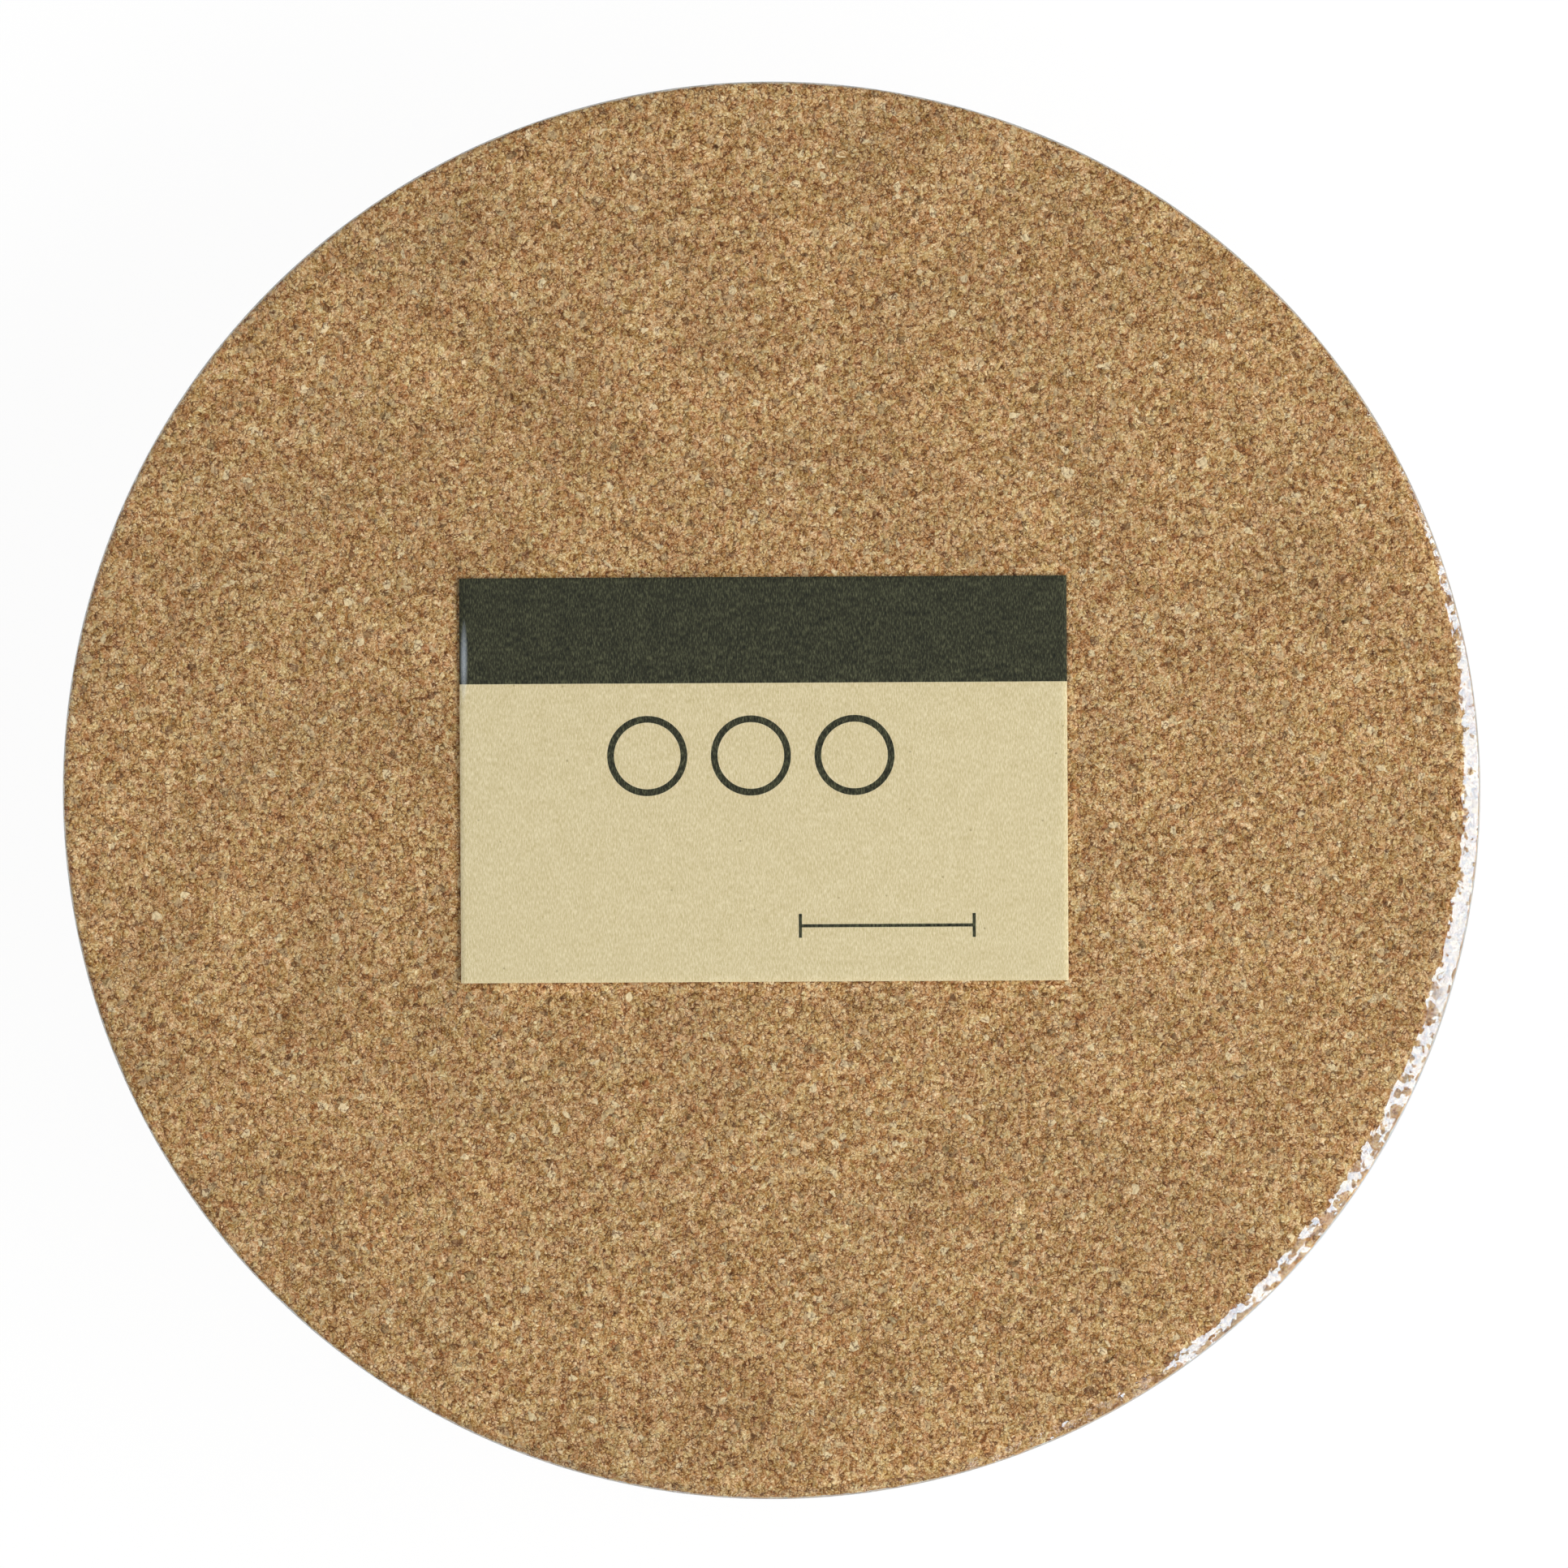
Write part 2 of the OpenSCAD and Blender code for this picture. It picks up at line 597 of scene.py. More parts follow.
@dataclass(frozen=True)
class AgglomeratedCork:
    """Agglomerated cork: chips pressed with a binder and cut into sheet.

    To the eye it is matt, with tan bits that tilt every way and dark gaps between them, painted as shadow.
    Each chip is made up of flakes and crumbs, and catches the light on one side, as the cut surface is open
    and rough.

    Attributes:
        chip_mm: A chip's size.
        flake_mm: The size of the flakes in it.
        crumb_mm: The size of the crumbs that the cut leaves.
        gap_shadow_mm: The width of the painted shadow in the gaps between flakes.
        bend_mm: The size and reach of the noise that bends the outlines.
        fray_mm: The same for the noise that frays them.
        shadow_patch_mm: The size of the places where painted shadow shows in the gaps.
        shadow_patch_level: The noise values at which it begins to show and shows in full.
        mottle_mm: The size of the sheet's paler and darker places.
        mottle: How dark and how light they are.
        chip_share: How much of a crumb's shade is its chip's.
        flake_share: How much is its flake's.
        hue: The range of hues from chip to chip, where 0.5 changes nothing.
        chip_tilt: How far a chip leans, as a share of the normal.
        flake_dome: How round a flake is.
        roughness: The surface's roughness.
        specular: Its specular level, low because dry cork hardly shines.
        rim_shade_from_mm: The depths below the face where the painted shade on the rim begins and is full.
        rim_shade_to_mm: The depths where it has ended and begins to end.
        gap_shadow_colour: What lies in the gaps.
        shades: The shades of tan, from bark to the palest cork, each with its place from 0 to 1.
        odd_chips: The odd ones: the middle and reach of the random numbers that pick them, how far they are
            tinted, and their colour. They are cream, pale grey, grey, dark bark and reddish.
    """

    chip_mm: float = 0.8
    flake_mm: float = 0.44
    crumb_mm: float = 0.15
    gap_shadow_mm: float = 0.07
    bend_mm: tuple[float, float] = (1.4, 0.45)
    fray_mm: tuple[float, float] = (0.4, 0.09)
    shadow_patch_mm: float = 0.7
    shadow_patch_level: tuple[float, float] = (0.46, 0.58)
    mottle_mm: float = 15.0
    mottle: tuple[float, float] = (0.91, 1.09)
    chip_share: float = 0.24
    flake_share: float = 0.24
    hue: tuple[float, float] = (0.491, 0.509)
    chip_tilt: float = 0.24
    flake_dome: float = 0.80
    roughness: float = 0.86
    specular: float = 0.25
    rim_shade_from_mm: tuple[float, float] = (0.06, 0.36)
    rim_shade_to_mm: tuple[float, float] = (3.0, 1.8)
    # gap_shadow_colour: The colour of the painted shadow in the gaps.
    gap_shadow_colour: str = "#63300c"
    shades: tuple[tuple[float, str], ...] = (
        (0.08, "#824a18"), (0.30, "#b07d45"), (0.50, "#cca16d"), (0.70, "#e2bc8b"), (0.92, "#f9e0b4"),
    )
    odd_chips: tuple[tuple[float, float, float, str], ...] = (
        (0.995, 0.005, 0.70, "#f6dfb6"), (0.980, 0.010, 0.55, "#cbb28c"), (0.008, 0.008, 0.50, "#857255"),
        (0.020, 0.004, 0.60, "#6b452a"), (0.036, 0.012, 0.45, "#ad6a3b"),
    )

    def material(
        self,
        name: str,
        offset_mm: tuple[float, float, float],
        lightness: float,
        face_z: float,
        rim_shade: float,
    ) -> bpy.types.Material:
        """Makes the cork of one disc.

        Args:
            name: The material's name.
            offset_mm: Where in the block of cork the disc is cut.
            lightness: The sheet's own shade, 1 for the upper disc's.
            face_z: The height of the disc's upper face.
            rim_shade: How much darker the cork is painted just below the face, as a share: painted shade on
                the rim.

        Returns:
            The material.
        """
        s = Shader(name)
        place = s.add("TexCoord").outputs["Object"]
        block = s.out("Mapping", {"Location": [v * MM for v in offset_mm]}, {"Vector": place})
        ragged = self.push(s, self.push(s, block, *self.bend_mm), *self.fray_mm)
        chip = s.add("TexVoronoi", {"Scale": per_metre(self.chip_mm)}, {"Vector": ragged}).outputs
        flake = s.add("TexVoronoi", {"Scale": per_metre(self.flake_mm)}, {"Vector": ragged}).outputs
        crumb = s.add("TexVoronoi", {"Scale": per_metre(self.crumb_mm)}, {"Vector": ragged}).outputs
        of_chip, of_flake, of_crumb = [
            s.add("SeparateColor", links={0: cell["Color"]}).outputs for cell in (chip, flake, crumb)
        ]

        # A crumb's shade is its chip's, its flake's and its own together, and each chip's hue is its own
        crumb_share = 1 - self.chip_share - self.flake_share
        shade = s.out("Math", {"operation": "MULTIPLY", 1: self.chip_share}, {0: of_chip[0]})
        for share, cell in ((self.flake_share, of_flake), (crumb_share, of_crumb)):
            shade = s.out("Math", {"operation": "MULTIPLY_ADD", 1: share}, {0: cell[0], 2: shade})
        tan = s.out("ValToRGB", {"stops": self.shades}, {0: shade})
        hue = s.out("MapRange", {"To Min": self.hue[0], "To Max": self.hue[1]}, {0: of_chip[1]})
        tan = s.out("HueSaturation", links={"Hue": hue, "Color": tan})

        # A few chips are odd ones
        for middle, reach, share, colour in self.odd_chips:
            odd = s.out("Math", {"operation": "COMPARE", 1: middle, 2: reach}, {0: of_chip[2]})
            odd = s.out("Math", {"operation": "MULTIPLY", 1: share}, {0: odd})
            tan = s.add("Mix", {"data_type": "RGBA", 7: linear(colour)}, {0: odd, 6: tan}).outputs[2]

        # Painted shadow: dark gaps along some of the edges between flakes, where shade falls between them
        shadow_patches = s.out("TexNoise", {"Scale": per_metre(self.shadow_patch_mm), "Detail": 1.0}, {"Vector": block})
        low, high = self.shadow_patch_level
        shadow_patches = s.out("MapRange", {"From Min": low, "From Max": high}, {0: shadow_patches})
        flakes = {"feature": "DISTANCE_TO_EDGE", "Scale": per_metre(self.flake_mm)}
        edge = s.out("TexVoronoi", flakes, {"Vector": ragged})
        gap = s.out("MapRange", {"From Min": self.gap_shadow_mm / self.flake_mm, "From Max": 0.0}, {0: edge})
        dark = s.out("Math", {"operation": "MULTIPLY"}, {0: gap, 1: shadow_patches})
        tan = s.add("Mix", {"data_type": "RGBA", 7: linear(self.gap_shadow_colour)}, {0: dark, 6: tan}).outputs[2]

        # The sheet is a little uneven in shade from place to place
        cloud = s.out("TexNoise", {"Scale": per_metre(self.mottle_mm), "Detail": 3.0}, {"Vector": block})
        low, high = NOISE_SPREAD
        darkest, lightest = [part * lightness for part in self.mottle]
        limits = {"From Min": low, "From Max": high, "To Min": darkest, "To Max": lightest}
        level = s.out("MapRange", limits, {0: cloud})

        # Painted shade: the cork is darker in a belt just below the face, where the rim turns down away from
        # the light
        height = s.add("SeparateXYZ", links={0: place}).outputs[2]
        depth = s.out("Math", {"operation": "SUBTRACT", 0: face_z}, {1: height})
        below, above = [
            s.out("MapRange", {"From Min": start * MM, "From Max": end * MM}, {0: depth})
            for start, end in (self.rim_shade_from_mm, self.rim_shade_to_mm)
        ]
        rim = s.out("Math", {"operation": "MULTIPLY"}, {0: below, 1: above})
        rim = s.out("Math", {"operation": "MULTIPLY_ADD", 1: -rim_shade, 2: 1.0}, {0: rim})
        level = s.out("Math", {"operation": "MULTIPLY"}, {0: level, 1: rim})
        base = s.out("VectorMath", {"operation": "SCALE"}, {0: tan, "Scale": level})
        skin = s.out(
            "BsdfPrincipled",
            {"Roughness": self.roughness, "Specular IOR Level": self.specular},
            {"Base Color": base, "Normal": self.tilted(s, ragged, chip["Color"], flake["Position"])},
        )
        return s.finish(skin)

    def tilted(self, s: Shader, place: Socket, chip_random: Socket, flake_middle: Socket) -> Socket:
        """Tilts the normal a random way on each chip, and away from each flake's middle as on a dome.

        Args:
            s: The material.
            place: The coordinates that the flakes lie in.
            chip_random: A random colour for each chip.
            flake_middle: The middle of the flake that each place lies in.

        Returns:
            The new normal.
        """
        from_middle = s.out("VectorMath", {"operation": "SUBTRACT"}, {0: place, 1: flake_middle})
        far = (self.flake_dome * per_metre(self.flake_mm),) * 3
        normal = s.add("NewGeometry").outputs["Normal"]
        domed = s.out("VectorMath", {"operation": "MULTIPLY_ADD", 1: far}, {0: from_middle, 2: normal})
        return facet_normal(s, chip_random, self.chip_tilt, domed)

    def push(self, s: Shader, place: Socket, size_mm: float, far_mm: float) -> Socket:
        """Pushes coordinates about by noise, so that the outlines of chips are ragged.

        Args:
            s: The material.
            place: The coordinates.
            size_mm: The noise's size.
            far_mm: How far it pushes, from side to side.

        Returns:
            The new coordinates.
        """
        noise = s.add("TexNoise", {"Scale": per_metre(size_mm), "Detail": 1.0}, {"Vector": place})
        centred = s.out("VectorMath", {"operation": "SUBTRACT", 1: MID_NOISE}, {0: noise.outputs["Color"]})
        far = (far_mm * MM * 2,) * 3
        return s.out("VectorMath", {"operation": "MULTIPLY_ADD", 1: far}, {0: centred, 2: place})


@dataclass(frozen=True)
class PrintedKraft:
    """Uncoated kraft board, printed with one flat dark ink.

    To the eye it is matt and pale buff, with a few specks, and fine upright fibres that also show in the ink.

    Attributes:
        fibre_mm: A fibre's width and length.
        fibre_share: How much of the tone is the fibres'. The rest is the clouds'.
        cloud_mm: The size of the board's paler and darker clouds.
        bump: How strongly the fibres stand out in relief.
        relief_mm: How high they stand.
        speck_mm: How far apart the specks lie.
        speck_reach: Where a speck's edge begins and where it is full, as a share of that distance.
        speck_strength: How dark it is at most.
        speck_colour: Its colour.
        roughness: The surface's roughness.
        specular: Its specular level.
        board: The board's shades, each with its place from 0 to 1.
        ink: The ink's shades.
    """

    fibre_mm: tuple[float, float] = (0.15, 0.6)
    fibre_share: float = 0.86
    cloud_mm: float = 2.4
    bump: float = 0.5
    relief_mm: float = 0.02
    speck_mm: float = 3.2
    speck_reach: tuple[float, float] = (0.055, 0.03)
    speck_strength: float = 0.55
    speck_colour: str = "#8f7d55"
    roughness: float = 0.8
    specular: float = 0.3
    board: tuple[tuple[float, str], ...] = ((0.30, "#ccb88a"), (0.5, "#dfcca4"), (0.70, "#f1e0bd"))
    ink: tuple[tuple[float, str], ...] = ((0.30, "#060601"), (0.5, "#32311e"), (0.70, "#646348"))

    def material(self, card: "KraftCard") -> bpy.types.Material:
        """Makes the printed board.

        Args:
            card: The card, which says where its print is.

        Returns:
            The material.
        """
        s = Shader("kraft_board_printed")
        place = s.add("TexCoord").outputs["Object"]
        flat = s.out(
            "Mapping",
            {"vector_type": "TEXTURE", "Location": Vector(card.middle), "Rotation": (0, 0, card.turn)},
            {"Vector": place},
        )
        across, along = [per_metre(size) for size in self.fibre_mm]
        fine = s.out("Mapping", {"Scale": (across, along, across)}, {"Vector": flat})
        fibre = s.out("TexNoise", {"Scale": 1.0, "Detail": 2.0, "Roughness": 0.6}, {"Vector": fine})
        cloud = s.out("TexNoise", {"Scale": per_metre(self.cloud_mm), "Detail": 3.0}, {"Vector": flat})
        tone = s.out("Math", {"operation": "MULTIPLY", 1: self.fibre_share}, {0: fibre})
        tone = s.out("Math", {"operation": "MULTIPLY_ADD", 1: 1 - self.fibre_share}, {0: cloud, 2: tone})
        board, ink = [s.out("ValToRGB", {"stops": shades}, {0: tone}) for shades in (self.board, self.ink)]
        speck = s.out("TexVoronoi", {"Scale": per_metre(self.speck_mm)}, {"Vector": flat})
        begins, full = self.speck_reach
        limits = {"From Min": begins, "From Max": full, "To Max": self.speck_strength}
        spot = s.out("MapRange", limits, {0: speck})
        specks = {"data_type": "RGBA", 7: linear(self.speck_colour)}
        board = s.add("Mix", specks, {0: spot, 6: board}).outputs[2]
        printed = card.print_mask(s, flat)
        colour = s.add("Mix", {"data_type": "RGBA"}, {0: printed, 6: board, 7: ink}).outputs[2]
        bump = s.out("Bump", {"Strength": self.bump, "Distance": self.relief_mm * MM}, {"Height": fibre})
        skin = s.out(
            "BsdfPrincipled",
            {"Roughness": self.roughness, "Specular IOR Level": self.specular},
            {"Base Color": colour, "Normal": bump},
        )
        return s.finish(skin)


@dataclass(frozen=True)
class ShrinkFilm:
    """Clear polyolefin shrink film, blown thin and shrunk on by heat.

    To the eye it is all but unseen face on, with a mirror-like glare where it turns to the light. It is
    drawn down on the granules under it, so each patch of it faces its own way and the glare is broken up. On
    the flat face it only swells a little from place to place.

    Attributes:
        facing_share: The share of the light that a face of it mirrors face on.
        grazing_share: How much larger that share is at a grazing angle.
        roughness: The roughness of the mirrored part.
        clear: The colour of what is seen through it.
        cool: The tint of the mirrored light where little is mirrored. It fades to white where all is.
        patch_mm: The size of the patches that face their own way.
        ragged_mm: How far noise pushes the patches' outlines.
        ragged_size_mm: The size of that noise.
        swell_mm: The size of the flat face's swells.
        lean_flat: How far the normal leans on the flat face, as a share of its length.
        lean_drawn: The same where the film turns over the rim.
        lean_tight: The same where it is drawn tight there.
        lean_skirt: The same on the skirt.
        flat_upright: The z of the normal at which the flat face ends and is full.
        wall_upright: The z of the normal at which the skirt ends and the turn over the rim is full.
        turned_upright: The z of the normal at which it begins to stick to the granules and sticks fully.
        tight_depth_mm: The depths below the face where the tight part begins and is full.
        fringe_mm: The size and reach of the noise that makes that line ragged.
        tight_mm: The distances along tight_heading at which the tight part begins and is full.
        tight_heading: The tight part's middle, anticlockwise from +X.
        bridge_mm: The size of the islands that bridge the granules.
        bridge_level: The noise values at which an island begins and is full.
        bridge_near: How much the noise is raised where the rim is pressed.
        bridge_lost: The share of its gloss that the film loses where it sticks.
        pressed_heading: Where the rim is pressed most, anticlockwise from +X.
        pressed_mm: The distances along that heading at which the pressed rim begins and is full.
        streak_at_mm: The middle of the streak of painted reflection.
        streak_half_mm: Half its length each way.
        streak_edge: Where it fades out and is full, as a share of those.
        streak_most: How strongly the painted reflection shows at most.
        streak_glint_colour: The painted reflection's colour.
    """

    facing_share: float = 0.058
    grazing_share: float = 0.70
    roughness: float = 0.09
    clear: str = "#fdfefd"
    cool: str = "#cce4fa"
    patch_mm: float = 0.9
    ragged_mm: float = 0.5
    ragged_size_mm: float = 0.7
    swell_mm: float = 4.5
    lean_flat: float = 0.05
    lean_drawn: float = 0.30
    lean_tight: float = 0.24
    lean_skirt: float = 0.12
    flat_upright: tuple[float, float] = (0.95, 1.0)
    wall_upright: tuple[float, float] = (0.1, 0.3)
    turned_upright: tuple[float, float] = (1.0, 0.985)
    tight_depth_mm: tuple[float, float] = (0.21, 0.27)
    fringe_mm: tuple[float, float] = (0.9, 0.7)
    tight_mm: tuple[float, float] = (80.5, 83.0)
    tight_heading: float = math.radians(4)
    bridge_mm: float = 1.7
    bridge_level: tuple[float, float] = (0.715, 0.735)
    bridge_near: float = 0.25
    bridge_lost: float = 0.85
    pressed_heading: float = math.radians(-19)
    pressed_mm: tuple[float, float] = (54.0, 74.0)
    streak_at_mm: tuple[float, float, float] = (-38.6, 16.2, 29.1)
    streak_half_mm: tuple[float, float, float] = (0.5, 5.4, 3.0)
    streak_edge: tuple[float, float] = (1.0, 0.2)
    streak_most: float = 0.18
    streak_glint_colour: str = "#dfe8f2"

    def material(self) -> bpy.types.Material:
        """Makes the film.

        Each of its two faces mirrors a share of the light: what it keeps of facing_share, and grazing_share
        times the fifth power of the slant.

        Returns:
            The material.
        """
        s = Shader("polyolefin_film_clear")
        place = s.add("TexCoord").outputs["Object"]
        size = per_metre(self.ragged_size_mm)
        noise = s.add("TexNoise", {"Scale": size, "Detail": 1.0}, {"Vector": place}).outputs["Color"]
        far = (self.ragged_mm * MM * 2,) * 3
        ragged = s.out("VectorMath", {"operation": "MULTIPLY_ADD", 1: far}, {0: noise, 2: place})
        patch = s.add("TexVoronoi", {"Scale": per_metre(self.patch_mm)}, {"Vector": ragged}).outputs["Color"]
        surface = s.add("NewGeometry").outputs["Normal"]
        upright = s.add("SeparateXYZ", links={0: surface}).outputs[2]
        tight = self.tight(s, place)
        drawn = s.out("MapRange", {"To Min": self.lean_drawn, "To Max": self.lean_tight}, {0: tight})
        low, high = self.wall_upright
        limits = {"From Min": low, "From Max": high, "To Min": self.lean_skirt}
        drawn = s.out("MapRange", limits, {0: upright, "To Max": drawn})
        low, high = self.flat_upright
        flat = s.out("MapRange", {"From Min": low, "From Max": high}, {0: upright})
        lean = s.out("MapRange", {"To Max": self.lean_flat}, {0: flat, "To Min": drawn})
        size = per_metre(self.swell_mm)
        swell = s.add("TexNoise", {"Scale": size, "Detail": 1.0}, {"Vector": place}).outputs["Color"]
        way = s.add("Mix", {"data_type": "RGBA"}, {0: flat, 6: patch, 7: swell}).outputs[2]
        normal = facet_normal(s, way, lean, surface)
        slant = s.add("LayerWeight", {"Blend": 0.5}).outputs["Facing"]
        grazing = s.out("Math", {"operation": "POWER", 1: 5.0}, {0: slant})
        kept = self.kept(s, place, upright, tight)
        plain = s.out("Math", {"operation": "MULTIPLY", 1: self.facing_share}, {0: kept})
        mirrored = s.out("Math", {"operation": "MULTIPLY_ADD", 1: self.grazing_share}, {0: grazing, 2: plain})
        clear = s.out("BsdfTransparent", {"Color": linear(self.clear)})
        tints = {"data_type": "RGBA", 6: linear(self.cool), 7: linear(WHITE)}
        tint = s.add("Mix", tints, {0: mirrored}).outputs[2]
        glare = s.out("BsdfAnisotropic", {"Roughness": self.roughness}, {"Color": tint, "Normal": normal})
        both = s.out("MixShader", links={0: mirrored, 1: clear, 2: glare})

        # Painted reflection: a short pale streak along the card's edge, where the film stretched over it
        # would mirror a light, painted as a matt pale coat
        near = s.out(
            "Mapping",
            {
                "vector_type": "TEXTURE",
                "Location": [v * MM for v in self.streak_at_mm],
                "Scale": [v * MM for v in self.streak_half_mm],
            },
            {"Vector": place},
        )
        away = s.add("VectorMath", {"operation": "LENGTH"}, {0: near}).outputs["Value"]
        begins, full = self.streak_edge
        limits = {"From Min": begins, "From Max": full, "To Max": self.streak_most}
        painted_glint = s.out("MapRange", limits, {0: away})
        glint_paint = s.out("BsdfDiffuse", {"Color": linear(self.streak_glint_colour)})
        return s.finish(s.out("MixShader", links={0: painted_glint, 1: both, 2: glint_paint}))

    def tight(self, s: Shader, place: Socket) -> Socket:
        """Where the sheet is drawn tight: on the bevel near one heading, from a ragged line downwards.

        Args:
            s: The material.
            place: The coordinates.

        Returns:
            A factor from 0 to 1.
        """
        height = s.add("SeparateXYZ", links={0: place}).outputs[2]
        face = float(Box.of("trivet_top").high[2])
        depth = s.out("Math", {"operation": "SUBTRACT", 0: face}, {1: height})
        size, far = self.fringe_mm
        noise = s.out("TexNoise", {"Scale": per_metre(size), "Detail": 1.0}, {"Vector": place})
        fringe = s.out("Math", {"operation": "SUBTRACT", 1: 0.5}, {0: noise})
        depth = s.out("Math", {"operation": "MULTIPLY_ADD", 1: far * MM * 2}, {0: fringe, 2: depth})
        low, high = self.tight_depth_mm
        below = s.out("MapRange", {"From Min": low * MM, "From Max": high * MM}, {0: depth})
        beyond = self.beyond(s, place, self.tight_heading, self.tight_mm)
        return s.out("Math", {"operation": "MULTIPLY"}, {0: below, 1: beyond})

    def beyond(self, s: Shader, place: Socket, heading: float, limits_mm: tuple[float, float]) -> Socket:
        """How far places lie out along a heading.

        Args:
            s: The material.
            place: The coordinates.
            heading: The direction from the middle, anticlockwise from +X.
            limits_mm: The distances at which the factor leaves 0 and reaches 1.

        Returns:
            A factor from 0 to 1.
        """
        way = (math.cos(heading), math.sin(heading), 0)
        along = s.add("VectorMath", {"operation": "DOT_PRODUCT", 1: way}, {0: place}).outputs["Value"]
        low, high = limits_mm
        return s.out("MapRange", {"From Min": low * MM, "From Max": high * MM}, {0: along})

    def kept(self, s: Shader, place: Socket, upright: Socket, tight: Socket) -> Socket:
        """How much of its face-on gloss the sheet keeps where it turns over the rim.

        It keeps all of it where it is tight, and on islands where it bridges the granules of the pressed
        rim. Where it sticks to them, most of it is lost.

        Args:
            s: The material.
            place: The coordinates.
            upright: The surface normal's z.
            tight: Where the sheet is tight.

        Returns:
            A factor from 0 to 1.
        """
        near = self.beyond(s, place, self.pressed_heading, self.pressed_mm)
        noise = s.out("TexNoise", {"Scale": per_metre(self.bridge_mm), "Detail": 2.0}, {"Vector": place})
        level = s.out("Math", {"operation": "MULTIPLY_ADD", 1: self.bridge_near}, {0: near, 2: noise})
        low, high = self.bridge_level
        island = s.out("MapRange", {"From Min": low, "From Max": high}, {0: level})
        bridged = s.out("Math", {"operation": "MAXIMUM"}, {0: island, 1: tight})
        turned, above = [
            s.out("MapRange", {"From Min": begins, "From Max": full}, {0: upright})
            for begins, full in (self.turned_upright, self.wall_upright)
        ]
        turned = s.out("Math", {"operation": "MULTIPLY"}, {0: turned, 1: above})
        stuck = s.out("Math", {"operation": "SUBTRACT", 0: 1.0}, {1: bridged})
        stuck = s.out("Math", {"operation": "MULTIPLY"}, {0: stuck, 1: turned})
        return s.out("Math", {"operation": "MULTIPLY_ADD", 1: -self.bridge_lost, 2: 1.0}, {0: stuck})


@dataclass
class CorkDisc:
    """One cork disc of the stack, die-cut from sheet cork.

    Attributes:
        node: The CAD node that it replaces.
        body: The body that it rides on.
        name: The piece's name.
        grid: Points along a side of the face's grid.
        rim: How the face turns down into the wall.
        finish: The cork.
        cut_at_mm: Where in the block of cork it is cut.
        lightness: The sheet's own shade, 1 for the upper disc's.
        seed: Picks its granules.
        rim_shade: How much darker the painted shade on its rim is, as a share.
        wall_rows: Rows of faces down the wall.
        lower_r: The lower edge's radius.
        under_rows: Rows of faces round the lower edge.
        under_shares: Where the underside's rows lie, as shares of its radius.
        rim_slope: How far outwards the face's first row below the grid sinks, as a share.
        relief: The depth of the gaps between granules.
        granule: A granule's size.
        unevenness: The depth of the sheet's slow waves.
        wave: A wave's size.
    """

    node: str
    body: str
    name: str
    grid: int
    rim: Rim
    finish: AgglomeratedCork
    cut_at_mm: tuple[float, float, float]
    lightness: float
    seed: int
    rim_shade: float = 0.0
    wall_rows: int = 14
    lower_r: float = 1.4 * MM
    under_rows: int = 5
    under_shares: tuple[float, ...] = (0.8, 0.5, 0.2)
    rim_slope: float = 0.2
    relief: float = 0.13 * MM
    granule: float = 1.5 * MM
    unevenness: float = 0.05 * MM
    wave: float = 7 * MM

    def build(self) -> bpy.types.Object:
        """Builds the disc's closed surface and dresses it.

        The face is a grid bent into a disc, and the rows below follow the rim's profile, the wall and the
        lower edge's quarter circle, then run in to the middle of the underside. Every point then sinks by the
        relief, straight down on the face and square to the surface below it.

        Returns:
            The piece.
        """
        box = Box.of(self.node)
        centre, radius = box.middle, box.size[0] / 2
        unit = disc_grid(self.grid)
        angle, ring = grid_angles(unit)
        inset, _ = self.rim.profile(angle.ravel())
        edge = (radius - inset[0]).reshape(angle.shape)
        face = np.concatenate([unit * edge[..., None], np.zeros_like(unit[..., :1])], axis=-1)

        inset, depth = self.rim.profile(ring)
        upper_r, upper_z = radius - inset[1:], -depth[1:]
        thick = box.size[2]
        share = np.linspace(0, 1, self.wall_rows + 1)[1:, None]
        wall_z = upper_z[-1] + (self.lower_r - thick - upper_z[-1]) * share
        wall_r = np.full_like(wall_z, radius)
        turn = np.linspace(0, math.pi / 2, self.under_rows + 1)[1:, None] + 0 * ring
        under_r = radius - self.lower_r * (1 - np.cos(turn))
        under_z = self.lower_r * (1 - np.sin(turn)) - thick
        inward = np.array(self.under_shares)[:, None] + 0 * ring
        flat_r, flat_z = (radius - self.lower_r) * inward, np.full_like(inward, -thick)
        rows_r = np.concatenate([upper_r, wall_r, under_r, flat_r])
        rows_z = np.concatenate([upper_z, wall_z, under_z, flat_z])

        top = np.array([centre[0], centre[1], box.high[2]])
        pole = np.array([centre[0], centre[1], box.low[2]])
        rim_slope = np.linspace(self.rim_slope, 1, len(upper_r))[:, None] + 0 * ring
        slope = np.concatenate([rim_slope, np.ones_like(wall_r), np.cos(turn), np.zeros_like(flat_r)])
        upright = np.sqrt(1 - slope**2)
        upright[len(upper_r) :] *= -1
        face = face + top
        rows = round_points(rows_r, ring, rows_z) + top
        face[..., 2] -= self.sink(face)
        rows -= round_points(slope, ring, upright) * self.sink(rows)[..., None]
        piece = face_and_rows(self.name, face, rows, pole)
        self.dress(piece, float(box.high[2]))
        return piece

    def dress(self, piece: bpy.types.Object, face_z: float) -> None:
        """Gives the disc its cork and puts it in the frame.

        Args:
            piece: The disc.
            face_z: The height of its upper face.
        """
        name = self.name + "_cork"
        cork = self.finish.material(name, self.cut_at_mm, self.lightness, face_z, self.rim_shade)
        piece.data.materials.append(cork)
        put_in_frame(piece, self.body, self.node)

    def sink(self, points: np.ndarray) -> np.ndarray:
        """How far each point sinks below the disc's outer surface, in granule gaps and in the sheet's waves.

        Args:
            points: Places, with x, y, z last.

        Returns:
            One depth for each place.
        """
        gaps = 1 - granule_relief(points, self.granule, self.seed)
        waves = value_noise(points, self.wave, self.seed + WAVE_SEED_STEP)
        return self.relief * gaps + self.unevenness * waves


